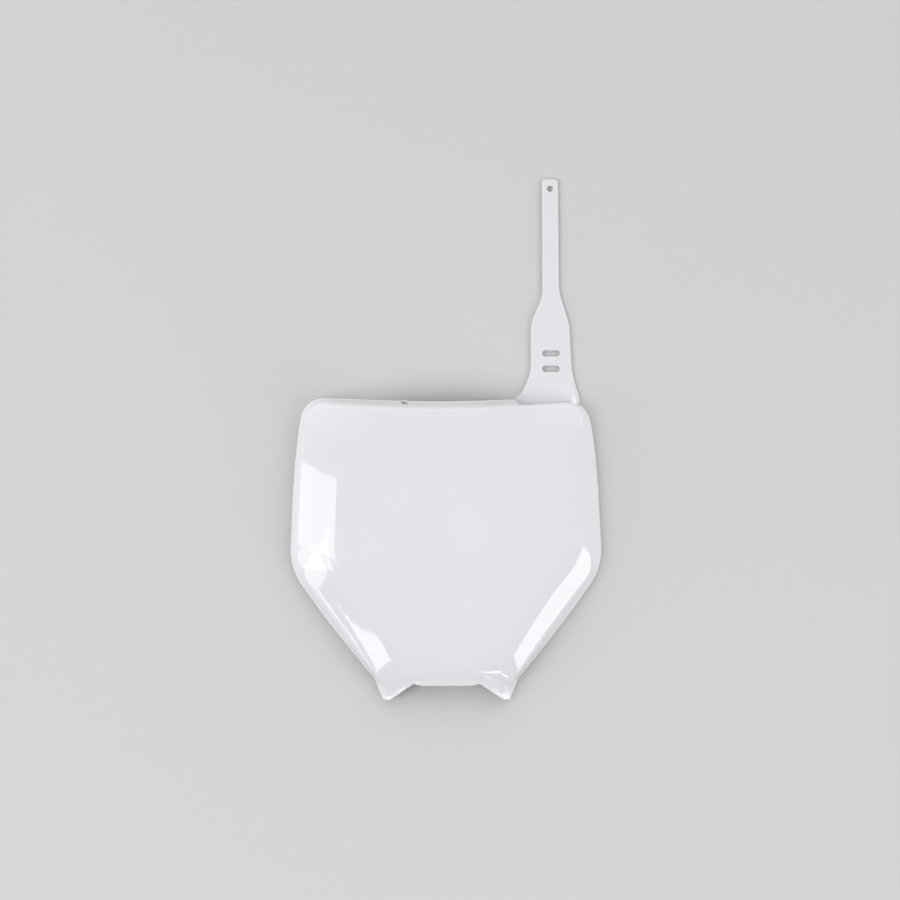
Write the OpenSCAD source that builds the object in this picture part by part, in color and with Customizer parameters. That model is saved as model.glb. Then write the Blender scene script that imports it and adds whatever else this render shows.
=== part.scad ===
// Racing number board for the front of a motocross motorbike, moulded in one piece.
// X runs to the viewer's right, Y up the board to the tip of the strap, Z out of the face.
// The board lies on its back, so Z is 0 at the rear edge of its rim and under the strap.

/* [Board outline] */
// Widest width, at the hips
board_w = 250; // [236:1:264]
// Height from the middle of the top edge to the tips of the horns
board_h = 238; // [230:1:248]
// Width across the upper corners before they are rounded
upper_w = 228.8; // [220:0.2:234]
// How far the upper corners stand above the middle of the top edge
top_dip = 6; // [2:0.5:9]
// Radius of the upper corners
corner_r = 20; // [14:1:26]
// Radius of the hips, where the sides turn into the tapers
hip_r = 50; // [36:1:60]
// Height of the hips below the middle of the top edge
hip_drop = 132; // [124:1:140]
// Width between the feet of the tapers
foot_w = 116; // [110:1:122]

/* [Notch and horns] */
// Width over the outer sides of the two horns at their tips
horn_w = 102; // [98:1:106]
// Width of each horn at its tip
horn_tip = 5; // [4.5:0.5:7]
// Width of the straight bottom of the notch
notch_w = 40; // [34:1:44]
// Height of the notch above the tips of the horns
notch_h = 12.2; // [9:0.2:14]

/* [Form] */
// Wall thickness of the moulding
wall = 2.2; // [1.8:0.1:2.6]
// Height of the middle of the face above the rear edge
depth = 27.4; // [25:0.2:31]
// Radius of the gentle crown across the face
crown_r = 700; // [650:10:1500]
// How much the face bends back towards the notch
lower_fall = 5; // [2:0.5:7]
// Drop of the rounded shoulder around the face
shoulder_drop = 8; // [5:0.5:9]
// Where the shoulder starts, as a share of the way out to the fold
shoulder_start = 0.72; // [0.6:0.01:0.8]
// Drop of the shoulder along the top edge, as a share of the drop at the sides
top_shoulder = 0.15; // [0:0.05:1]
// Width of the flange seen from the front, along the top edge
top_flange = 3.2; // [2.8:0.1:5]
// Width of the flange seen from the front, along the sides
side_flange = 5.2; // [4:0.1:7]
// Width of the flange seen from the front, along the tapers
taper_flange = 7.4; // [5:0.1:8.5]
// Width of the lip that bends back above the notch
lip_w = 12; // [10:0.5:14]
// Length of the rounded fold on each side of its corner
fold = 3.2; // [2.6:0.1:3.6]
// Length of the tighter fold along the top edge and at the lip
tight_fold = 1.7; // [1.4:0.1:3]
// How far the rim flares out at its cut edge
flare = 0.45; // [0:0.05:0.7]
// Width of the flared rim
flare_w = 2.6; // [2:0.1:3.2]
// Rise of the rear edge in the middle of the top flange
top_arch = 9; // [4:0.5:11]
// Rise of the rear edge in the middle of the notch
notch_arch = 15; // [9:0.5:16]

/* [Strap] */
// Distance of the strap's centre line from the middle of the board
strap_x = 85.2; // [80:0.2:88]
// Height of the strap's tip above the middle of the top edge
strap_len = 181.4; // [150:0.2:220]
// Width of the ribbon that goes round the handlebar
ribbon_w = 12.8; // [10:0.2:14]
// Width of the pad that holds the two slots
pad_w = 32.6; // [28:0.2:36]
// Thickness of the strap
strap_t = 2.1; // [1.8:0.1:2.6]
// How far the strap's root thickens towards the flange
root_rise = 3.6; // [2:0.2:5]
// Length of the thickened root
root_len = 16; // [12:0.5:17]
// Length of each slot
slot_l = 14.2; // [13.4:0.2:18]
// Height of each slot
slot_h = 5; // [4.4:0.1:6]
// Height of the lower slot's centre above the middle of the top edge
slot_y = 28.4; // [26:0.2:34]
// Distance between the centres of the two slots
slot_gap = 12.4; // [10:0.2:16]
// Diameter of the hole near the strap's tip
tip_hole_d = 4.8; // [3:0.1:6]

/* [Loop and pegs] */
// Distance of the small loop from the middle of the top edge
loop_x = 32.2; // [24:0.2:40]
// Width of the small loop's opening
loop_w = 6.2; // [4:0.1:8]
// Height of the small loop above the middle of the top edge
loop_rise = 3.5; // [3:0.1:5]
// Thickness of the loop's arch
loop_wall = 1.3; // [1.1:0.1:2]
// Diameter of the two locating pegs on the hidden side
peg_d = 8; // [6:0.5:9]
// Distance between the two pegs
peg_gap = 84; // [70:1:96]
// Height of the pegs above the tips of the horns
peg_rise = 50; // [44:1:60]
// How far the pegs' ends stay above the rear edge
peg_clear = 5; // [3:0.5:8]

/* [Hidden] */
bore_fn = 64;
white = [0.93, 0.93, 0.95];
arc_step = 11;
longest_step = 13;
hub = [0, -0.462 * board_h];
top_y = -1.1;
corner_y = top_dip - 1;
side_bend = [board_w / 2 - 3, -0.338 * hip_drop];
hip = [board_w / 2 + 1.2, -hip_drop];
foot = [foot_w / 2, 16.4 - board_h];
taper_bend = hip + (foot - hip) * 0.46 + [2.4, 0];
notch_top = notch_h - board_h;
crease_y = notch_top + lip_w;
pad_end = slot_y + slot_gap + 23.2;
top_arch_half = strap_x - pad_w / 2 - 2.9;
notch_arch_half = horn_w / 2 + 9;
row_shift = [0, (board_h - strap_len) / 2, 0];

function unit(v) = v / norm(v);
function cross2(a, b) = a.x * b.y - a.y * b.x;
function flat(p) = [p.x, p.y];
function eased(t) = let (s = min(1, max(0, t))) s * s * (3 - 2 * s);
function mirrored(half) = concat(half, [for (i = [len(half) - 1:-1:1]) [-half[i].x, half[i].y, half[i][2]]]);

// The arc that rounds corner p between its neighbours, with p[2] as its radius where the sides leave room for it
function corner_arc(before, p, after) =
    let (
        a = unit(flat(before) - flat(p)),
        b = unit(flat(after) - flat(p)),
        half = acos(a * b) / 2,
        room = 0.49 * min(norm(flat(before) - flat(p)), norm(flat(after) - flat(p))),
        cut = min(p[2] / tan(half), room),
        centre = flat(p) + unit(a + b) * cut / cos(half),
        start = flat(p) + a * cut - centre,
        end = flat(p) + b * cut - centre,
        sweep = 180 - 2 * half,
        n = max(1, ceil(sweep / arc_step))
    )
    [for (k = [0:n]) centre + (start * sin(sweep * (1 - k / n)) + end * sin(sweep * k / n)) / sin(sweep)];

function rounded(c) =
    [for (i = [0:len(c) - 1]) each corner_arc(c[(i + len(c) - 1) % len(c)], c[i], c[(i + 1) % len(c)])];

// The same closed outline with its long sides divided
function divided(points) =
    [for (i = [0:len(points) - 1])
        let (a = points[i], b = points[(i + 1) % len(points)], n = ceil(norm(b - a) / longest_step))
        for (k = [0:n - 1]) a + (b - a) * k / n];

// Distance from the hub to a closed outline in the direction d
function reach(outline, d) =
    max([for (i = [0:len(outline) - 1])
        let (
            a = outline[i] - hub,
            b = outline[(i + 1) % len(outline)] - hub,
            ca = cross2(d, a),
            cb = cross2(d, b)
        )
        if (ca * cb <= 0 && ca != cb && d * (a * cb - b * ca) / (cb - ca) > 0)
            d * (a * cb - b * ca) / (cb - ca)]);

// The cut edge of the moulding seen from the front
edge = divided(rounded(mirrored([
    [0, top_y, 650],
    [upper_w / 2, corner_y, corner_r],
    [side_bend.x, side_bend.y, 590],
    [hip.x, hip.y, hip_r],
    [taper_bend.x, taper_bend.y, 900],
    [foot.x, foot.y, 14],
    [horn_w / 2, -board_h, 2],
    [horn_w / 2 - horn_tip, -board_h, 2],
    [notch_w / 2 + 6.6, notch_top + 1.4, 2],
    [notch_w / 2, notch_top, 3],
])));

// The line where the face folds into the flange, and into the lip above the notch
fold_line = rounded(mirrored([
    [0, top_y - top_flange, 650],
    [upper_w / 2 - side_flange + 0.4, corner_y - top_flange - 0.4, corner_r - 4],
    [side_bend.x - side_flange, side_bend.y, 590],
    [hip.x - side_flange - 0.4, hip.y + 1.5, hip_r - 6],
    [taper_bend.x - taper_flange * 0.78, taper_bend.y + taper_flange * 0.62, 900],
    [foot.x - taper_flange * 0.75, foot.y - 1.6, 6],
    [notch_w / 2 + 0.8, crease_y, 60],
]));

// A softer outline that guides the shoulder, so that it has no creases at the corners
guide = rounded(mirrored([
    [0, top_y - top_flange, 650],
    [upper_w / 2 - side_flange, corner_y - top_flange, 38],
    [side_bend.x - side_flange, side_bend.y, 590],
    [hip.x - side_flange, hip.y, 60],
    [taper_bend.x - taper_flange * 0.78, taper_bend.y + taper_flange * 0.62, 900],
    [foot.x - 1, foot.y - 3, 24],
    [20, crease_y - 18, 60],
]));

function bent(y) = lower_fall * pow(max(0, hub.y - y) / (hub.y - foot.y), 2);
function shoulder(share) = shoulder_drop * pow(max(0, share - shoulder_start) / (1 - shoulder_start), 2);

// The shoulder fades out towards the flat top of the face
function shoulder_share(d) = 1 - (1 - top_shoulder) * eased((d.y - 0.62) / 0.33);

// The fold is tighter along the top and at the lip
function fold_at(d) =
    fold - (fold - tight_fold) * max(eased((-d.y - 0.8) / 0.12), eased((d.y - 0.72) / 0.2));
function face_z(d, r, guide_r) =
    let (p = hub + d * r)
    depth - p.x * p.x / (2 * crown_r) - bent(p.y) - shoulder(r / guide_r) * shoulder_share(d);
function swell(x, half, power) = pow(max(0, 1 - pow(abs(x) / half, power)), 2);
function rear_z(p) =
    p.y > hub.y ? top_arch * swell(p.x, top_arch_half, 2) : notch_arch * swell(p.x, notch_arch_half, 4);
function bow(a, b, c, t) = a * (1 - t) * (1 - t) + b * 2 * t * (1 - t) + c * t * t;

face_shares = [0.16, 0.34, 0.5, 0.63, 0.72, 0.79, 0.85, 0.905, 0.955];
back_shares = [0.93, 0.85, 0.76, 0.63, 0.4, 0.16];

// One section from the middle of the face, over the fold and round the edge, to the middle of the back.
// Inside it u is the distance out from the edge, measured square to the edge, and v is the height.
function section(i) =
    let (
        n = len(edge),
        p = edge[i],
        d = unit(p - hub),
        along = unit(edge[(i + 1) % n] - edge[(i + n - 1) % n]),
        slant = max(0.62, abs(cross2(d, along))),
        edge_r = norm(p - hub),
        fold_r = reach(fold_line, d),
        guide_r = reach(guide, d),
        t = wall,
        bend = fold_at(d),
        corner = [(fold_r - edge_r) * slant, face_z(d, fold_r, guide_r)],
        bead = [-t / 2, rear_z(p) + t / 2],
        span = norm(corner - bead),
        inward = (corner - bead) / span,
        lean = t / 2 / span,
        n1 = inward * lean + [inward.y, -inward.x] * sqrt(1 - lean * lean),
        e1 = [-n1.y, n1.x],
        step_r = fold_r - bend * 0.9 / slant,
        step = [(step_r - edge_r) * slant, face_z(d, step_r, guide_r)],
        e2 = unit(step - corner),
        n2 = [e2.y, -e2.x],
        a = corner - e1 * bend,
        waist = bead + n1 * (t / 2 - flare) + e1 * flare_w,
        inner = corner - (n1 + n2) * t / (1 + n1 * n2)
    )
    concat(
        [for (s = face_shares) [d, s * step_r, face_z(d, s * step_r, guide_r)]],
        [for (k = [0:5]) let (q = bow(step, corner, a, k / 5)) [d, edge_r + q.x / slant, q.y]],
        [[d, edge_r + waist.x / slant, waist.y]],
        [for (k = [0:4]) let (q = bead + (n1 * cos(45 * k) - e1 * sin(45 * k)) * t / 2) [d, edge_r + q.x / slant, q.y]],
        [let (q = waist - n1 * t) [d, edge_r + q.x / slant, q.y]],
        [for (k = [0:3]) let (q = bow(a - n1 * t, inner, step - n2 * t, k / 3)) [d, edge_r + q.x / slant, q.y]],
        [for (s = back_shares)
            let (
                r = s * step_r,
                rise = (face_z(d, r - 1, guide_r) - face_z(d, r + 1, guide_r)) / 2
            )
            [d, r, face_z(d, r, guide_r) - t * sqrt(1 + rise * rise)]]
    );

sections = [for (i = [0:len(edge) - 1]) section(i)];

module shell() {
    rays = len(sections);
    rings = len(sections[0]);
    middle = depth;
    points = concat(
        [for (s = sections) for (q = s) [hub.x + q[0].x * q[1], hub.y + q[0].y * q[1], q[2]]],
        [[hub.x, hub.y, middle], [hub.x, hub.y, middle - wall]]
    );
    skin = [for (i = [0:rays - 1], k = [0:rings - 2])
        let (j = (i + 1) % rays, a = i * rings + k, b = j * rings + k)
        each [[a, a + 1, b + 1], [a, b + 1, b]]];
    front_fan = [for (i = [0:rays - 1]) [rays * rings, i * rings, ((i + 1) % rays) * rings]];
    back_fan = [for (i = [0:rays - 1])
        [rays * rings + 1, ((i + 1) % rays) * rings + rings - 1, i * rings + rings - 1]];
    polyhedron(points, concat(skin, front_fan, back_fan), convexity = 6);
}

// The strap lies flat and grows out of the rear edge at the upper right
module strap() {
    ribbon = ribbon_w / 2;
    pad = pad_w / 2;
    outline = rounded([
        [strap_x - ribbon, strap_len, 3],
        [strap_x + ribbon, strap_len, 3],
        [strap_x + ribbon + 0.6, pad_end + 26, 30],
        [strap_x + pad - 1.2, pad_end, 24],
        [strap_x + pad + 0.8, slot_y - 4.4, 60],
        [upper_w / 2 - 5.2, 2, 60],
        [upper_w / 2 - 4, -8, 2],
        [strap_x - pad - 20.9, -8, 2],
        [strap_x - pad - 18.9, 0.6, 4],
        [strap_x - pad - 6.6, 9, 14],
        [strap_x - pad + 0.2, slot_y - 2.4, 24],
        [strap_x - pad + 0.4, pad_end + 1, 22],
        [strap_x - ribbon - 0.1, pad_end + 22, 26],
    ]);
    difference() {
        union() {
            linear_extrude(strap_t) polygon(outline);
            strap_root();
        }
        translate([0, 0, -1]) linear_extrude(strap_t + 2)
            polygon([for (p = edge) hub + (p - hub) * (1 - wall * 0.55 / norm(p - hub))]);
        for (k = [0, 1]) slot(slot_y + k * slot_gap);
        translate([strap_x, strap_len - 7.8, -1]) cylinder(d = tip_hole_d, h = strap_t + 2, $fn = bore_fn);
    }
}

// The strap's root thickens towards the flange, with a facet that falls to its right edge
module strap_root() {
    top = strap_t + root_rise;
    left = strap_x - pad_w / 2;
    right = strap_x + pad_w / 2;
    under = strap_t - 0.9;
    crest = [
        [left + 1.2, 0.6, top],
        [right - 1.6, 2, top],
    ];
    foot_line = [
        [left - 11, 0.7, strap_t - 0.15],
        [left + 0.6, root_len, strap_t - 0.1],
        [right + 0.6, root_len, strap_t - 0.1],
        [right + 3.2, root_len * 0.62, strap_t - 0.15],
        [right + 5.2, 0.6, strap_t - 0.15],
    ];
    hull() {
        for (p = concat(crest, foot_line, [for (q = foot_line) [q.x, q.y, under]]))
            translate(p) cube(0.01);
    }
}

module slot(y) {
    half = (slot_l - slot_h) / 2;
    translate([strap_x + 0.3, y, -1]) {
        for (side = [-1, 1])
            translate([side * half, 0, 0]) cylinder(d = slot_h, h = strap_t + 2, $fn = bore_fn);
        translate([-half, -slot_h / 2, 0]) cube([2 * half, slot_h, strap_t + 2]);
    }
}

// Small open lug on the rear edge of the top flange, upright on one side and slanting on the other
module eyelet() {
    thick = 3;
    left = -loop_x - loop_w / 2;
    outer = [
        [left - loop_wall, -1.4, 0.3],
        [left - loop_wall, loop_rise, 1.6],
        [left + loop_w * 0.62, loop_rise, 3],
        [left + loop_w + loop_wall * 3.2, -0.2, 0.6],
        [left + loop_w, -1.4, 0.3],
    ];
    inner = [
        [left, -0.5, 0.3],
        [left, loop_rise - loop_wall, 0.9],
        [left + loop_w * 0.48, loop_rise - loop_wall, 1.2],
        [left + loop_w, -0.5, 0.3],
    ];
    translate([0, 0, rear_z([loop_x, 0]) + 0.3]) difference() {
        linear_extrude(thick) polygon(rounded(outer));
        translate([0, 0, -1]) linear_extrude(thick + 2) polygon(rounded(inner));
    }
}

// Locating peg on the hidden side, with a boss at its root and a chamfered end
module peg(side) {
    x = side * peg_gap / 2;
    y = peg_rise - board_h;
    d = unit([x, y] - hub);
    root = face_z(d, norm([x, y] - hub), reach(guide, d)) - wall * 0.5;
    translate([x, y, peg_clear]) {
        cylinder(d1 = peg_d - 2, d2 = peg_d, h = 1, $fn = bore_fn);
        translate([0, 0, 1]) cylinder(d = peg_d, h = root - peg_clear - 1, $fn = bore_fn);
        translate([0, 0, root - peg_clear - 5]) cylinder(d = peg_d + 4, h = 5, $fn = bore_fn);
    }
}

module number_board() {
    color(white) translate(row_shift) {
        shell();
        strap();
        eyelet();
        for (side = [-1, 1]) peg(side);
    }
}

number_board();
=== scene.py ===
"""A one-piece moulded motocross number board, lying face up on a pale floor.

The shell, the strap, the small lug and the two hidden pegs are modelled from the board's real
sizes, joined into one solid, and given a glossy white polypropylene finish.
"""

import math

import bpy
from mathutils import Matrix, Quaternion, Vector

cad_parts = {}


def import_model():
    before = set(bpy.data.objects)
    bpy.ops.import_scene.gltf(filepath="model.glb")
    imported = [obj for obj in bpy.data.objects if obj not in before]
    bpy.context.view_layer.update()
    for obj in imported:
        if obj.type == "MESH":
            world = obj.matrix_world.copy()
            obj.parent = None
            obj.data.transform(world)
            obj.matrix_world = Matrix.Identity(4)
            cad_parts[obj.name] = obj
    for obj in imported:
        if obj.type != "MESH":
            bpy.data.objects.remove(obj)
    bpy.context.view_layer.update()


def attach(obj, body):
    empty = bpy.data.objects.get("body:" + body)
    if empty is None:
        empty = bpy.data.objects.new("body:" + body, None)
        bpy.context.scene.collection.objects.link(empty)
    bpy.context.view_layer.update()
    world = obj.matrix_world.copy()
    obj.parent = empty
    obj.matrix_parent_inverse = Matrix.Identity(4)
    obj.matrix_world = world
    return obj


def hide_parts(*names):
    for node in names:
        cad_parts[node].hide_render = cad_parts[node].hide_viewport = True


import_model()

MM = 0.001

# Sizes of the board in millimetres, with Y measured from the middle of the top edge
BOARD_W = 250.0
BOARD_H = 238.0
UPPER_W = 228.8
TOP_DIP = 6.0
TOP_Y = 1.7
CORNER_R = 20.0
HIP_R = 50.0
HIP_DROP = 132.0
FOOT_W = 116.0
HORN_W = 102.0
HORN_TIP = 5.0
NOTCH_W = 40.0
NOTCH_H = 12.2

# Form of the moulding
WALL = 2.2
DEPTH = 27.4
CROWN_R = 700.0
LOWER_FALL = 5.0
SHOULDER_DROP = 8.0
SHOULDER_START = 0.72
TOP_SHOULDER = 0.15
TOP_FLANGE = 6.0
TOP_FOLD = 6.0
STRAP_DENT = 5.0
DENT_X = 56.0
DENT_Y = -20.0
CORNER_DENT = 3.0
CORNER_DENT_X = 90.0
MIN_SLANT = 0.62
SIDE_FLANGE = 5.2
TAPER_FLANGE = 7.4
LIP_W = 12.0
FOLD = 3.2
TIGHT_FOLD = 1.7
FLARE = 0.45
FLARE_W = 2.6
TOP_ARCH = 9.0
NOTCH_ARCH = 15.0

# Strap
STRAP_X = 85.2
STRAP_LEN = 181.4
RIBBON_W = 12.8
PAD_W = 32.6
STRAP_T = 2.1
ROOT_RISE = 3.6
ROOT_LEN = 16.0
SLOT_L = 14.2
SLOT_H = 5.0
SLOT_Y = 28.4
SLOT_GAP = 12.4
TIP_HOLE_D = 4.8
TIP_HOLE_IN = 7.8
STRAP_ROUND = 0.65
ROOT_BLEND = 0.22
HOLE_ROUND = 0.35

# Small lug on the top edge
LUG_X = -32.2
LUG_W = 6.2
LUG_WALL = 1.3
LUG_RISE = 3.5
LUG_T = 3.0

# Pegs on the hidden side
PEG_D = 8.0
PEG_GAP = 84.0
PEG_RISE = 50.0
PEG_CLEAR = 5.0
BOSS_H = 5.0
PEG_FILLET = 0.8

# Edges that turn by more than this many degrees stay sharp
SHARP_ANGLE = 38

HUB = Vector((0.0, -0.462 * BOARD_H))
ROW_Y = (BOARD_H - STRAP_LEN) / 2
FOOT = Vector((FOOT_W / 2, 16.4 - BOARD_H))
HIP = Vector((BOARD_W / 2 + 1.2, -HIP_DROP))
SIDE_BEND = Vector((BOARD_W / 2 - 3, -0.338 * HIP_DROP))
TAPER_BEND = HIP + (FOOT - HIP) * 0.46 + Vector((2.4, 0))
CORNER_Y = TOP_DIP + 0.5
NOTCH_TOP = NOTCH_H - BOARD_H
CREASE_Y = NOTCH_TOP + LIP_W
PAD_END = SLOT_Y + SLOT_GAP + 23.2
TOP_ARCH_HALF = STRAP_X - PAD_W / 2 - 2.9
NOTCH_ARCH_HALF = HORN_W / 2 + 9


# Outlines


def mirrored(half):
    """A closed list of corners from its right half, which starts on the middle line."""
    return half + [(-x, y, r) for x, y, r in half[:0:-1]]


def rounded(corners, step):
    """A closed outline whose corners (x, y, radius) become arcs of about step degrees a side."""
    out = []
    count = len(corners)
    for i, (x, y, radius) in enumerate(corners):
        p = Vector((x, y))
        before = Vector(corners[i - 1][:2]) - p
        after = Vector(corners[(i + 1) % count][:2]) - p
        a, b = before.normalized(), after.normalized()
        half = a.angle(b) / 2
        cut = min(radius / math.tan(half), 0.49 * before.length, 0.49 * after.length)
        centre = p + (a + b).normalized() * cut / math.cos(half)
        start, end = p + a * cut - centre, p + b * cut - centre
        sweep = math.pi - 2 * half
        n = max(1, math.ceil(math.degrees(sweep) / step))
        for k in range(n + 1):
            f = k / n
            arm = start * math.sin(sweep * (1 - f)) + end * math.sin(sweep * f)
            out.append(centre + arm / math.sin(sweep))
    return out


def divided(points, longest):
    """The same closed outline with its long sides divided."""
    out = []
    for a, b in zip(points, points[1:] + points[:1]):
        n = max(1, math.ceil((b - a).length / longest))
        out += [a + (b - a) * (k / n) for k in range(n)]
    return out


def cross2(a, b):
    """The cross product of two flat vectors."""
    return a.x * b.y - a.y * b.x


def eased(t):
    """A smooth step from 0 to 1 as t goes from 0 to 1."""
    t = min(1.0, max(0.0, t))
    return t * t * (3 - 2 * t)


def reach(outline, d):
    """Distance from the hub to a closed outline in the direction d."""
    best = 0.0
    for p, q in zip(outline, outline[1:] + outline[:1]):
        a, b = p - HUB, q - HUB
        ca, cb = cross2(d, a), cross2(d, b)
        if ca * cb <= 0 and ca != cb:
            best = max(best, d.dot(a * cb - b * ca) / (cb - ca))
    return best


def dented(p):
    """The point of the edge, drawn in towards the hub where the strap grows out of the corner."""
    share = eased((p.x - DENT_X) / 9) * eased((p.y - DENT_Y) / 18)
    depth = STRAP_DENT - CORNER_DENT * eased((p.x - CORNER_DENT_X) / 26)
    return p + (HUB - p).normalized() * depth * share


EDGE_CORNERS = mirrored([
    (0, TOP_Y, 650),
    (UPPER_W / 2, CORNER_Y, CORNER_R),
    (SIDE_BEND.x, SIDE_BEND.y, 590),
    (HIP.x, HIP.y, HIP_R),
    (TAPER_BEND.x, TAPER_BEND.y, 900),
    (FOOT.x, FOOT.y, 14),
    (HORN_W / 2, -BOARD_H, 2),
    (HORN_W / 2 - HORN_TIP, -BOARD_H, 2),
    (NOTCH_W / 2 + 6.6, NOTCH_TOP + 1.4, 2),
    (NOTCH_W / 2, NOTCH_TOP, 3),
])
FOLD_CORNERS = mirrored([
    (0, TOP_Y - TOP_FLANGE, 650),
    (UPPER_W / 2 - SIDE_FLANGE + 0.4, CORNER_Y - TOP_FLANGE + 0.9, CORNER_R - 4),
    (SIDE_BEND.x - SIDE_FLANGE, SIDE_BEND.y, 590),
    (HIP.x - SIDE_FLANGE - 0.4, HIP.y + 1.5, HIP_R - 6),
    (TAPER_BEND.x - TAPER_FLANGE * 0.78, TAPER_BEND.y + TAPER_FLANGE * 0.62, 900),
    (FOOT.x - TAPER_FLANGE * 0.75, FOOT.y - 1.6, 6),
    (NOTCH_W / 2 + 0.8, CREASE_Y, 60),
])
GUIDE_CORNERS = mirrored([
    (0, TOP_Y - TOP_FLANGE, 650),
    (UPPER_W / 2 - SIDE_FLANGE, CORNER_Y - TOP_FLANGE + 1.3, 38),
    (SIDE_BEND.x - SIDE_FLANGE, SIDE_BEND.y, 590),
    (HIP.x - SIDE_FLANGE, HIP.y, 60),
    (TAPER_BEND.x - TAPER_FLANGE * 0.78, TAPER_BEND.y + TAPER_FLANGE * 0.62, 900),
    (FOOT.x - 1, FOOT.y - 3, 24),
    (20, CREASE_Y - 18, 60),
])
EDGE = [dented(p) for p in divided(rounded(EDGE_CORNERS, 3.0), 2.6)]
FOLD_LINE = rounded(FOLD_CORNERS, 2.0)
GUIDE = rounded(GUIDE_CORNERS, 2.0)


# Form of the shell


def shoulder_share(d):
    """The share of the shoulder in the direction d, which fades out towards the flat top."""
    return 1 - (1 - TOP_SHOULDER) * eased((d.y - 0.62) / 0.33)


def fold_at(d):
    """The length of the fold in the direction d: longer along the top, shorter at the lip."""
    at_lip = eased((-d.y - 0.8) / 0.12)
    at_top = eased((d.y - 0.66) / 0.25)
    return FOLD - (FOLD - TIGHT_FOLD) * at_lip + (TOP_FOLD - FOLD) * at_top


def face_z(d, r, guide_r):
    """Height of the front of the face at the distance r from the hub in the direction d."""
    p = HUB + d * r
    bent = LOWER_FALL * (max(0.0, HUB.y - p.y) / (HUB.y - FOOT.y)) ** 2
    share = max(0.0, r / guide_r - SHOULDER_START) / (1 - SHOULDER_START)
    return DEPTH - p.x * p.x / (2 * CROWN_R) - bent - SHOULDER_DROP * shoulder_share(d) * share ** 2


def rear_z(p):
    """Height of the rear edge, which arches in the middle of the top and of the notch."""
    arch, half, power = NOTCH_ARCH, NOTCH_ARCH_HALF, 4
    if p.y > HUB.y:
        arch, half, power = TOP_ARCH, TOP_ARCH_HALF, 2
    return arch * max(0.0, 1 - (abs(p.x) / half) ** power) ** 2


def bow(a, b, c, t):
    """The point at t of the curve that leaves a towards b and ends in c."""
    return a * (1 - t) ** 2 + b * 2 * t * (1 - t) + c * t * t


# The rings of a section, as shares of the way from the hub to the fold, and steps round its bends
FACE_SHARES = [
    0.05, 0.14, 0.24, 0.34, 0.43, 0.51, 0.58, 0.64, 0.69,
    0.73, 0.765, 0.80, 0.835, 0.87, 0.905, 0.94, 0.97, 0.99,
]
BACK_SHARES = [0.985, 0.955, 0.92, 0.88, 0.835, 0.79, 0.745, 0.69, 0.62, 0.5, 0.34, 0.16, 0.05]
FOLD_STEPS = 12
RIM_STEPS = 8
INNER_FOLD_STEPS = 7


def section(i):
    """One section from the middle of the face, round the rim, to the middle of the back.

    Inside it x is the distance out from the edge, measured square to the edge, and y is the height.
    """
    count = len(EDGE)
    p = EDGE[i]
    d = (p - HUB).normalized()
    along = (EDGE[(i + 2) % count] - EDGE[i - 2]).normalized()
    slant = max(MIN_SLANT, abs(cross2(d, along)))
    edge_r = (p - HUB).length
    fold_r = reach(FOLD_LINE, d)
    guide_r = reach(GUIDE, d)
    corner = Vector(((fold_r - edge_r) * slant, face_z(d, fold_r, guide_r)))
    bead = Vector((-WALL / 2, rear_z(p) + WALL / 2))
    span = (corner - bead).length
    inward = (corner - bead) / span
    lean = WALL / 2 / span
    n1 = inward * lean + Vector((inward.y, -inward.x)) * math.sqrt(1 - lean * lean)
    e1 = Vector((-n1.y, n1.x))
    bend = fold_at(d)
    step_r = fold_r - min(bend, FOLD) * 0.9 / slant
    step = Vector(((step_r - edge_r) * slant, face_z(d, step_r, guide_r)))
    e2 = (step - corner).normalized()
    n2 = Vector((e2.y, -e2.x))
    a = corner - e1 * bend
    inner = corner - (n1 + n2) * WALL / (1 + n1.dot(n2))

    def placed(q):
        spot = HUB + d * (edge_r + q.x / slant)
        return Vector((spot.x, spot.y, q.y))

    out = []
    for share in FACE_SHARES:
        spot = HUB + d * share * step_r
        out.append(Vector((spot.x, spot.y, face_z(d, share * step_r, guide_r))))
    out += [placed(bow(step, corner, a, k / FOLD_STEPS)) for k in range(FOLD_STEPS + 1)]
    lip = bead + n1 * WALL / 2
    waist = bead + n1 * (WALL / 2 - FLARE) + e1 * FLARE_W
    out.append(placed(a.lerp(waist, 0.5)))
    out += [placed(bow(a.lerp(waist, 0.85), waist, waist.lerp(lip, 0.2), k / 3)) for k in range(4)]
    out.append(placed(waist.lerp(lip, 0.6)))
    for k in range(RIM_STEPS + 1):
        turn = math.pi * k / RIM_STEPS
        out.append(placed(bead + (n1 * math.cos(turn) - e1 * math.sin(turn)) * WALL / 2))
    back_a, back_step = a - n1 * WALL, step - n2 * WALL
    out += [placed(waist - n1 * WALL), placed(back_a.lerp(waist - n1 * WALL, 0.5))]
    shares = [k / INNER_FOLD_STEPS for k in range(INNER_FOLD_STEPS + 1)]
    out += [placed(bow(back_a, inner, back_step, share)) for share in shares]
    for share in BACK_SHARES:
        r = share * step_r
        rise = (face_z(d, r - 1, guide_r) - face_z(d, r + 1, guide_r)) / 2
        spot = HUB + d * r
        below = WALL * math.sqrt(1 + rise * rise)
        out.append(Vector((spot.x, spot.y, face_z(d, r, guide_r) - below)))
    return out


# Mesh helpers


def solid(name, verts, faces):
    """A mesh object from millimetre points in the board's own frame."""
    mesh = bpy.data.meshes.new(name)
    mesh.from_pydata([(v.x * MM, (v.y + ROW_Y) * MM, v.z * MM) for v in verts], [], faces)
    mesh.validate()
    obj = bpy.data.objects.new(name, mesh)
    bpy.context.scene.collection.objects.link(obj)
    return obj


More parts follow.
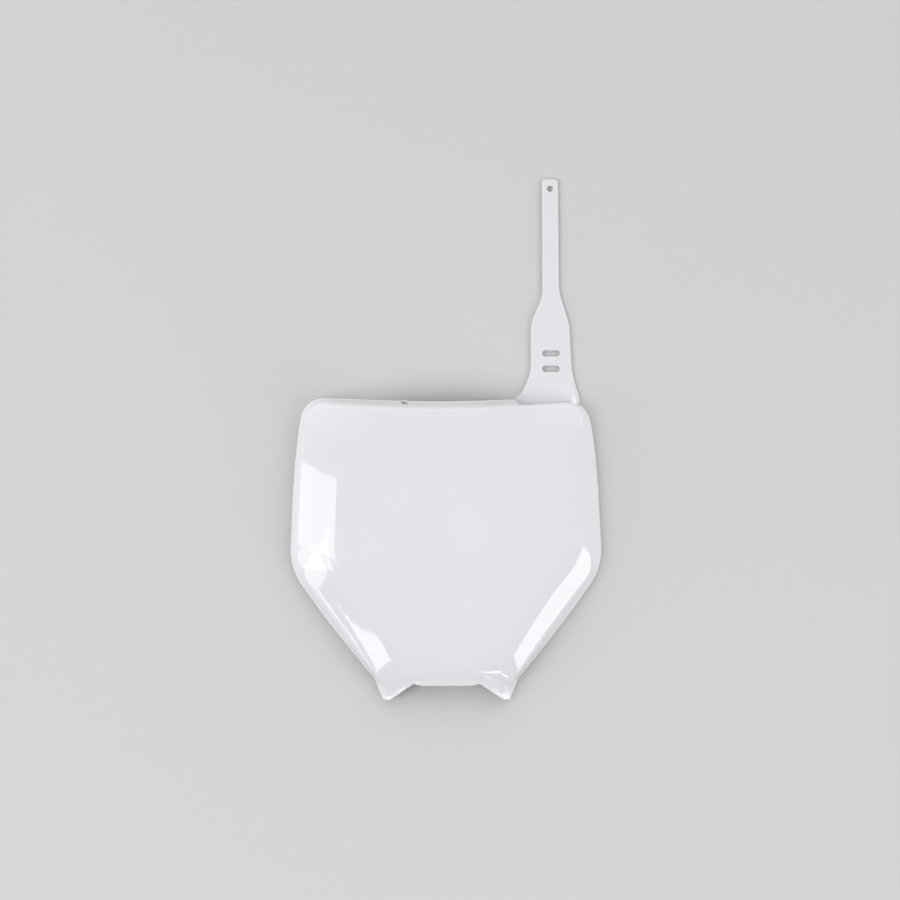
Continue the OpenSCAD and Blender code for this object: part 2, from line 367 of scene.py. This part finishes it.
def rings_to_solid(name, rings):
    """A closed solid from a list of rings with the same number of points."""
    count = len(rings[0])
    verts = [v for ring in rings for v in ring]
    faces = []
    for k in range(len(rings) - 1):
        for i in range(count):
            j = (i + 1) % count
            low, high = k * count, (k + 1) * count
            faces.append((low + i, low + j, high + j, high + i))
    faces.append(tuple(range(count))[::-1])
    faces.append(tuple((len(rings) - 1) * count + i for i in range(count)))
    return solid(name, verts, faces)


def join_solids(base, other, operation):
    """Applies one boolean to base and removes the other object."""
    mod = base.modifiers.new("join", "BOOLEAN")
    mod.operation = operation
    mod.solver = "EXACT"
    mod.object = other
    bpy.context.view_layer.objects.active = base
    bpy.ops.object.modifier_apply(modifier=mod.name)
    bpy.data.objects.remove(other, do_unlink=True)


# Pieces of the moulding


def shell():
    """The board without its strap, as one closed skin of sections round the hub."""
    sections = [section(i) for i in range(len(EDGE))]
    rays, rings = len(sections), len(sections[0])
    verts = [v for s in sections for v in s]
    verts.append(Vector((HUB.x, HUB.y, DEPTH)))
    verts.append(Vector((HUB.x, HUB.y, DEPTH - WALL)))
    faces = []
    for i in range(rays):
        j = (i + 1) % rays
        for k in range(rings - 1):
            here, there = i * rings + k, j * rings + k
            faces.append((here + 1, there + 1, there, here))
        faces.append((rays * rings, j * rings, i * rings))
        faces.append((rays * rings + 1, i * rings + rings - 1, j * rings + rings - 1))
    return solid("shell", verts, faces)


def smooth_least(values, blend):
    """The least of the values, with the changes from one to the next rounded over blend."""
    return -blend * math.log(sum(math.exp(-v / blend) for v in values))


def strap_top(x, y):
    """Height of the strap's top, which thickens into a gusset at the root."""
    left, right = STRAP_X - PAD_W / 2, STRAP_X + PAD_W / 2
    ramp = ROOT_RISE * (ROOT_LEN - y) / (ROOT_LEN - 1.3)
    from_left = ROOT_RISE * (x - left + 11) / 12.2
    crest = Vector((right - 1.6, 2.0, ROOT_RISE))
    low = Vector((right + 5.2, 0.6, 0.0))
    high = Vector((right + 3.2, ROOT_LEN * 0.62, 0.0))
    n = (low - crest).cross(high - crest)
    facet = crest.z - (n.x * (x - crest.x) + n.y * (y - crest.y)) / n.z
    return STRAP_T + max(0.0, smooth_least([ramp, from_left, facet], ROOT_BLEND))


def at_share(line, share):
    """The point at a share of the length of an open line."""
    lengths = [0.0]
    for a, b in zip(line, line[1:]):
        lengths.append(lengths[-1] + (b - a).length)
    want = share * lengths[-1]
    for k in range(1, len(line)):
        if lengths[k] >= want:
            span = lengths[k] - lengths[k - 1]
            return line[k - 1].lerp(line[k], (want - lengths[k - 1]) / span if span else 0.0)
    return line[-1]


def strap_sides():
    """The left and right sides of the strap, from its root to its tip."""
    ribbon, pad = RIBBON_W / 2, PAD_W / 2
    outline = rounded([
        (STRAP_X - ribbon, STRAP_LEN, 3),
        (STRAP_X + ribbon, STRAP_LEN, 3),
        (STRAP_X + ribbon + 0.6, PAD_END + 26, 30),
        (STRAP_X + pad - 1.2, PAD_END, 24),
        (STRAP_X + pad + 0.8, SLOT_Y - 4.4, 60),
        (UPPER_W / 2 - 5.2, 2, 60),
        (UPPER_W / 2 - 4, -8, 2),
        (STRAP_X - pad - 20.9, -8, 2),
        (STRAP_X - pad - 18.9, 0.6, 4),
        (STRAP_X - pad - 6.6, 9, 14),
        (STRAP_X - pad + 0.2, SLOT_Y - 2.4, 24),
        (STRAP_X - pad + 0.4, PAD_END + 1, 22),
        (STRAP_X - ribbon - 0.1, PAD_END + 22, 26),
    ], 6.0)
    right = [p for p in outline if p.x > STRAP_X and p.y > 0.4]
    left = [p for p in outline if p.x < STRAP_X and p.y > 0.4]
    right.sort(key=lambda p: p.y)
    left.sort(key=lambda p: p.y)
    return left, right


def strap():
    """The strap as a closed sheet of rows, with rounded long edges and a rounded tip."""
    left, right = strap_sides()
    inset = 1 - WALL * 0.5 / 110
    low_x, high_x = left[0].x - 1, right[0].x + 0.5
    root = [HUB + (p - HUB) * inset for p in EDGE if p.y > -4 and low_x < p.x < high_x]
    root.sort(key=lambda p: p.x)
    root[0] = left[0] + Vector((0.3, -0.6))
    root[-1] = right[0] + Vector((-0.3, -0.6))
    columns = 40
    root = [at_share(root, k / columns) for k in range(columns + 1)]
    left = [root[0]] + left[1:]
    right = [root[-1]] + right[1:]
    fine = [k * 0.012 for k in range(0, 12)] + [0.144 + k * 0.0135 for k in range(0, 63)]
    shares = [s for s in fine if s < 0.985] + [0.985, 0.99, 0.994, 0.998, 1.0]
    rows = []
    for s in shares:
        a, b = at_share(left, s), at_share(right, s)
        fade = max(0.0, 1 - s / 0.14) ** 2
        row = []
        for k in range(columns + 1):
            u = k / columns
            flat = root[0].lerp(root[-1], u)
            row.append(a.lerp(b, u) + (root[k] - flat) * fade)
        rows.append(row)
    # The closed boundary runs up the left side, along the tip and down the right side
    last = len(rows) - 1
    border = [(r, 0) for r in range(last + 1)]
    border += [(last, k) for k in range(1, columns)]
    border += [(r, columns) for r in range(last, -1, -1)]
    spots = [rows[r][k].copy() for r, k in border]
    inward = []
    for i, p in enumerate(spots):
        a = spots[max(0, i - 1)]
        b = spots[min(len(spots) - 1, i + 1)]
        t = (b - a).normalized()
        inward.append(Vector((t.y, -t.x)))
    for (r, k), p, n in zip(border, spots, inward):
        rows[r][k] = p + n * STRAP_ROUND
    for r, row in enumerate(rows):
        if r < last:
            a, b = row[0], row[-1]
            old_a, old_b = spots[r], spots[len(spots) - 1 - r]
            for k in range(1, columns):
                u = k / columns
                row[k] = row[k] + (a - old_a) * (1 - u) + (b - old_b) * u
    verts, faces = [], []
    wide = columns + 1
    for row in rows:
        verts += [Vector((p.x, p.y, strap_top(p.x, p.y))) for p in row]
    under = len(verts)
    for row in rows:
        verts += [Vector((p.x, p.y, 0.0)) for p in row]
    for r in range(last):
        for k in range(columns):
            a = r * wide + k
            faces.append((a, a + 1, a + wide + 1, a + wide))
            faces.append((under + a, under + a + wide, under + a + wide + 1, under + a + 1))
    steps = 5
    loops = []
    for (r, k), p, n in zip(border, spots, inward):
        core = p + n * STRAP_ROUND
        top = strap_top(core.x, core.y)
        loop = [r * wide + k]
        for side, level in ((1, top - STRAP_ROUND), (-1, STRAP_ROUND)):
            for q in range(0 if side < 0 else 1, steps + (1 if side > 0 else 0)):
                turn = math.pi / 2 * q / steps
                out, up = math.sin(turn), math.cos(turn)
                if side < 0:
                    out, up = up, -out
                spot = core - n * STRAP_ROUND * out
                verts.append(Vector((spot.x, spot.y, level + STRAP_ROUND * up)))
                loop.append(len(verts) - 1)
        loop.append(under + r * wide + k)
        loops.append(loop)
    for one, two in zip(loops, loops[1:]):
        for q in range(len(one) - 1):
            faces.append((one[q], two[q], two[q + 1], one[q + 1]))
    root_top = list(range(wide))
    root_under = [under + k for k in range(wide)]
    faces.append(tuple(root_top[::-1] + loops[0][1:-1] + root_under + loops[-1][1:-1][::-1]))
    return solid("strap", verts, faces)


def stadium(x, y, length, height, n=14):
    """The outline of a slot."""
    out = []
    half = (length - height) / 2
    for side in (1, -1):
        for k in range(n + 1):
            turn = -math.pi / 2 + math.pi * k / n
            along = half + math.cos(turn) * height / 2
            out.append(Vector((x + side * along, y + side * math.sin(turn) * height / 2)))
    return out


def through_cutter(name, outline, top, edge):
    """A cutter for a hole whose two mouths are rounded."""
    centre = sum(outline, Vector((0, 0))) / len(outline)
    levels = []
    for k in range(5):
        turn = math.pi / 2 * k / 4
        levels.append((-0.001 + edge * (1 - math.cos(turn)), edge * (1 - math.sin(turn))))
    levels = [(-1.0, edge)] + levels
    levels += [(top - z, grow) for z, grow in reversed(levels)]
    rings = []
    for z, grow in levels:
        ring = []
        count = len(outline)
        for i, p in enumerate(outline):
            t = (outline[(i + 1) % count] - outline[i - 1]).normalized()
            n = Vector((t.y, -t.x))
            if n.dot(p - centre) < 0:
                n = -n
            q = p + n * grow
            ring.append(Vector((q.x, q.y, z)))
        rings.append(ring)
    return rings_to_solid(name, rings)


def lug():
    """The small open lug on the top edge, and the hole that goes through it and the flange."""
    left = LUG_X - LUG_W / 2
    outer = rounded([
        (left - LUG_WALL, -1.4, 0.3),
        (left - LUG_WALL, LUG_RISE, 1.6),
        (left + LUG_W * 0.62, LUG_RISE, 3),
        (left + LUG_W + LUG_WALL * 3.2, -0.2, 0.6),
        (left + LUG_W, -1.4, 0.3),
    ], 6.0)[::-1]
    inner = rounded([
        (left, 0.2, 0.3),
        (left, LUG_RISE - LUG_WALL, 0.9),
        (left + LUG_W * 0.48, LUG_RISE - LUG_WALL, 1.2),
        (left + LUG_W, 0.2, 0.3),
    ], 6.0)[::-1]
    base = rear_z(Vector((LUG_X, 0))) + 0.3
    levels = [(0, -0.3), (0.1, -0.1), (0.3, 0)]
    levels += [(LUG_T - 0.3, 0), (LUG_T - 0.1, -0.1), (LUG_T, -0.3)]
    body = rings_to_solid("lug", [raised(outer, base + z, g) for z, g in levels])
    levels = [(-4, 0.2), (0, 0.2), (0.1, 0.06), (0.3, 0), (LUG_T + 9, 0)]
    hole = rings_to_solid("lug_hole", [raised(inner, base + z, g) for z, g in levels])
    return body, hole


def grown(outline, i, amount):
    """The step that moves point i of an outline outwards by an amount."""
    count = len(outline)
    t = (outline[(i + 1) % count] - outline[i - 1]).normalized()
    n = Vector((-t.y, t.x, 0.0))
    centre = sum(outline, Vector((0, 0))) / count
    if n.xy.dot(outline[i] - centre) < 0:
        n = -n
    return n * amount


def raised(outline, z, amount):
    """The outline at a height, grown by an amount."""
    return [Vector((p.x, p.y, z)) + grown(outline, i, amount) for i, p in enumerate(outline)]


def turned(name, x, y, profile, n=48):
    """A solid of revolution about an upright axis, from (radius, height) pairs."""
    rings = []
    circle = [(math.cos(2 * math.pi * k / n), math.sin(2 * math.pi * k / n)) for k in range(n)]
    for radius, z in profile:
        rings.append([Vector((x + radius * a, y + radius * b, z)) for a, b in circle])
    return rings_to_solid(name, rings)


def peg(side):
    """A locating peg with a chamfered end, and a fillet to the boss at its root."""
    x, y = side * PEG_GAP / 2, PEG_RISE - BOARD_H
    out = Vector((x, y)) - HUB
    d = out.normalized()
    root = face_z(d, out.length, reach(GUIDE, d)) - WALL * 0.5
    r = PEG_D / 2
    boss_z = root - BOSS_H
    profile = [(r - 1.3, PEG_CLEAR), (r - 1.0, PEG_CLEAR + 0.12), (r - 0.85, PEG_CLEAR + 0.3)]
    profile += [(r - 0.12, PEG_CLEAR + 0.9), (r, PEG_CLEAR + 1.2), (r, boss_z - PEG_FILLET)]
    for turn in (0.5, 1.0, 1.4):
        out, up = 1 - math.cos(turn), math.sin(turn)
        profile.append((r + PEG_FILLET * out, boss_z - PEG_FILLET + PEG_FILLET * up))
    profile += [(r + 1.6, boss_z), (r + 1.88, boss_z + 0.12), (r + 2, boss_z + 0.4), (r + 2, root)]
    return turned("peg", x, y, profile)


# Materials


def material(name):
    """A new material with one principled shader."""
    mat = bpy.data.materials.new(name)
    mat.use_nodes = True
    nodes, links = mat.node_tree.nodes, mat.node_tree.links
    nodes.clear()
    out = nodes.new("ShaderNodeOutputMaterial")
    shader = nodes.new("ShaderNodeBsdfPrincipled")
    links.new(shader.outputs["BSDF"], out.inputs["Surface"])
    return mat, nodes, links, shader


def noise(nodes, links, scale, detail=2.0, rough=0.5):
    """A noise texture in the object's own coordinates."""
    place = nodes.new("ShaderNodeTexCoord")
    tex = nodes.new("ShaderNodeTexNoise")
    tex.inputs["Scale"].default_value = scale
    tex.inputs["Detail"].default_value = detail
    tex.inputs["Roughness"].default_value = rough
    links.new(place.outputs["Object"], tex.inputs["Vector"])
    return tex


def ramp(nodes, links, source, low, high, low_at=0.3, high_at=0.7):
    """A socket that maps a noise value to the range from low to high."""
    node = nodes.new("ShaderNodeMapRange")
    node.inputs["From Min"].default_value = low_at
    node.inputs["From Max"].default_value = high_at
    node.inputs["To Min"].default_value = low
    node.inputs["To Max"].default_value = high
    links.new(source, node.inputs["Value"])
    return node.outputs["Result"]


def white_plastic():
    """Glossy white polypropylene: a soft glow inside, faint flow marks and a slight orange peel."""
    mat, nodes, links, shader = material("white_plastic")
    shader.inputs["IOR"].default_value = 1.49
    shader.inputs["Subsurface Weight"].default_value = 0.25
    shader.inputs["Subsurface Scale"].default_value = 0.0022
    shader.inputs["Subsurface Radius"].default_value = (1.0, 0.95, 0.9)
    cloud = noise(nodes, links, 9.0, 3.0)
    colour = nodes.new("ShaderNodeMix")
    colour.data_type = "RGBA"
    colour.inputs["A"].default_value = (0.672, 0.670, 0.699, 1)
    colour.inputs["B"].default_value = (0.691, 0.690, 0.717, 1)
    links.new(ramp(nodes, links, cloud.outputs["Fac"], 0, 1), colour.inputs["Factor"])
    links.new(colour.outputs["Result"], shader.inputs["Base Color"])
    flow = noise(nodes, links, 34.0, 4.0, 0.6)
    links.new(ramp(nodes, links, flow.outputs["Fac"], 0.035, 0.06), shader.inputs["Roughness"])
    peel = noise(nodes, links, 140.0, 2.0)
    waves = noise(nodes, links, 22.0, 1.0)
    total = nodes.new("ShaderNodeMath")
    total.operation = "MULTIPLY_ADD"
    total.inputs[1].default_value = 6.0
    links.new(waves.outputs["Fac"], total.inputs[0])
    links.new(peel.outputs["Fac"], total.inputs[2])
    bump = nodes.new("ShaderNodeBump")
    bump.inputs["Strength"].default_value = 0.12
    bump.inputs["Distance"].default_value = 0.00012
    links.new(total.outputs["Value"], bump.inputs["Height"])
    links.new(bump.outputs["Normal"], shader.inputs["Normal"])
    return mat


def floor_material():
    """Matt pale grey."""
    mat, nodes, links, shader = material("pale_floor")
    shader.inputs["Base Color"].default_value = (0.54, 0.54, 0.54, 1)
    shader.inputs["Roughness"].default_value = 0.75
    shader.inputs["Specular IOR Level"].default_value = 0.2
    return mat


# The board


def number_board():
    """All of the moulding joined into one solid."""
    board = shell()
    band = strap()
    slots = [stadium(STRAP_X + 0.3, SLOT_Y + k * SLOT_GAP, SLOT_L, SLOT_H) for k in (0, 1)]
    tip_hole = stadium(STRAP_X, STRAP_LEN - TIP_HOLE_IN, TIP_HOLE_D, TIP_HOLE_D)
    for k, outline in enumerate(slots + [tip_hole]):
        join_solids(band, through_cutter(f"cutter_{k}", outline, STRAP_T, HOLE_ROUND), "DIFFERENCE")
    join_solids(board, band, "UNION")
    lug_body, lug_hole = lug()
    join_solids(board, lug_body, "UNION")
    join_solids(board, lug_hole, "DIFFERENCE")
    for side in (-1, 1):
        join_solids(board, peg(side), "UNION")
    board.name = "number_board_moulding"
    board.data.materials.clear()
    board.data.materials.append(white_plastic())
    board.data.polygons.foreach_set("use_smooth", [True] * len(board.data.polygons))
    board.data.set_sharp_from_angle(angle=math.radians(SHARP_ANGLE))
    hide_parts("number_board")
    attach(board, "root")
    return board


board = number_board()


# Stage, light and camera

AIM = Vector((0.0, -0.08, 0.02))


def floor():
    """A wide plain floor a hair below the board."""
    size, level = 9.0, -0.0003
    verts = [(x * size, y * size, level) for x, y in ((-1, -1), (1, -1), (1, 1), (-1, 1))]
    mesh = bpy.data.meshes.new("floor")
    mesh.from_pydata(verts, [], [(0, 1, 2, 3)])
    obj = bpy.data.objects.new("floor", mesh)
    bpy.context.scene.collection.objects.link(obj)
    mesh.materials.append(floor_material())


def panel(name, azimuth, polar, distance, size, roll, power):
    """A rectangular soft light facing the board, placed by its angles about AIM in degrees."""
    a, b = math.radians(azimuth), math.radians(polar)
    away = Vector((math.sin(b) * math.cos(a), math.sin(b) * math.sin(a), math.cos(b)))
    lamp = bpy.data.lights.new(name, "AREA")
    lamp.shape = "RECTANGLE"
    lamp.size, lamp.size_y = size
    lamp.energy = power
    obj = bpy.data.objects.new(name, lamp)
    obj.location = AIM + away * distance
    turn = away.to_track_quat("Z", "Y") @ Quaternion((0, 0, 1), math.radians(roll))
    obj.rotation_euler = turn.to_euler()
    obj.visible_camera = False
    bpy.context.scene.collection.objects.link(obj)
    return obj


def world(base, lobes):
    """A dim even sky with soft bright lobes, each given by a direction, a power and a colour."""
    sky = bpy.data.worlds.new("studio")
    bpy.context.scene.world = sky
    sky.use_nodes = True
    nodes, links = sky.node_tree.nodes, sky.node_tree.links
    background = nodes["Background"]
    place = nodes.new("ShaderNodeTexCoord")
    total = None
    for direction, power, colour in lobes:
        dot = nodes.new("ShaderNodeVectorMath")
        dot.operation = "DOT_PRODUCT"
        dot.inputs[1].default_value = Vector(direction).normalized()
        links.new(place.outputs["Generated"], dot.inputs[0])
        positive = nodes.new("ShaderNodeMath")
        positive.operation = "MAXIMUM"
        positive.inputs[1].default_value = 0.0
        links.new(dot.outputs["Value"], positive.inputs[0])
        raised = nodes.new("ShaderNodeMath")
        raised.operation = "POWER"
        raised.inputs[1].default_value = power
        links.new(positive.outputs["Value"], raised.inputs[0])
        scaled = nodes.new("ShaderNodeVectorMath")
        scaled.operation = "SCALE"
        scaled.inputs[0].default_value = colour
        links.new(raised.outputs["Value"], scaled.inputs["Scale"])
        added = nodes.new("ShaderNodeVectorMath")
        added.operation = "ADD"
        added.inputs[1].default_value = base
        links.new(scaled.outputs["Vector"], added.inputs[0])
        if total:
            links.new(total, added.inputs[1])
        total = added.outputs["Vector"]
    links.new(total, background.inputs["Color"])
    background.inputs["Strength"].default_value = 1.0


def camera():
    """The photo's view from straight above."""
    data = bpy.data.cameras.new("camera")
    data.sensor_width = 36.0
    data.lens = 36.0 * 2.0 / 0.727
    obj = bpy.data.objects.new("camera", data)
    obj.location = (0.0036, -0.0085, 2.0)
    obj.rotation_euler = (0, 0, math.radians(-0.25))
    bpy.context.scene.collection.objects.link(obj)
    bpy.context.scene.camera = obj


floor()
world((0.03, 0.03, 0.03), [
    ((0.0, 0.50, 0.87), 10.0, (0.7, 0.7, 0.7)),
    ((0.0, 0.97, 0.26), 14.0, (1.6, 1.6, 1.6)),
    ((-0.62, 0.62, 0.48), 10.0, (1.75, 1.75, 1.75)),
    ((0.62, 0.62, 0.48), 10.0, (2.4, 2.4, 2.4)),
])
panel("left_box", -179.1, 54.4, 5.92, (0.81, 7.35), -5.0, 75.0)
panel("hip_box", -168.4, 58.5, 5.91, (1.18, 6.12), 0.0, 86.0)
panel("taper_box", -155.5, 64.6, 5.90, (1.47, 5.10), 22.0, 95.0)
panel("foot_box", -135.2, 45.6, 5.92, (1.38, 2.74), -15.0, 61.0)
panel("right_box", -29.0, 67.2, 5.91, (3.33, 4.14), -18.0, 230.0)
panel("crease_box", -69.9, 50.8, 5.91, (1.60, 0.20), -50.0, 8.0)
panel("facet_box", 13.8, 63.3, 5.0, (0.40, 0.40), 0.0, 3.2)
camera()
bpy.context.scene.view_settings.view_transform = "Standard"
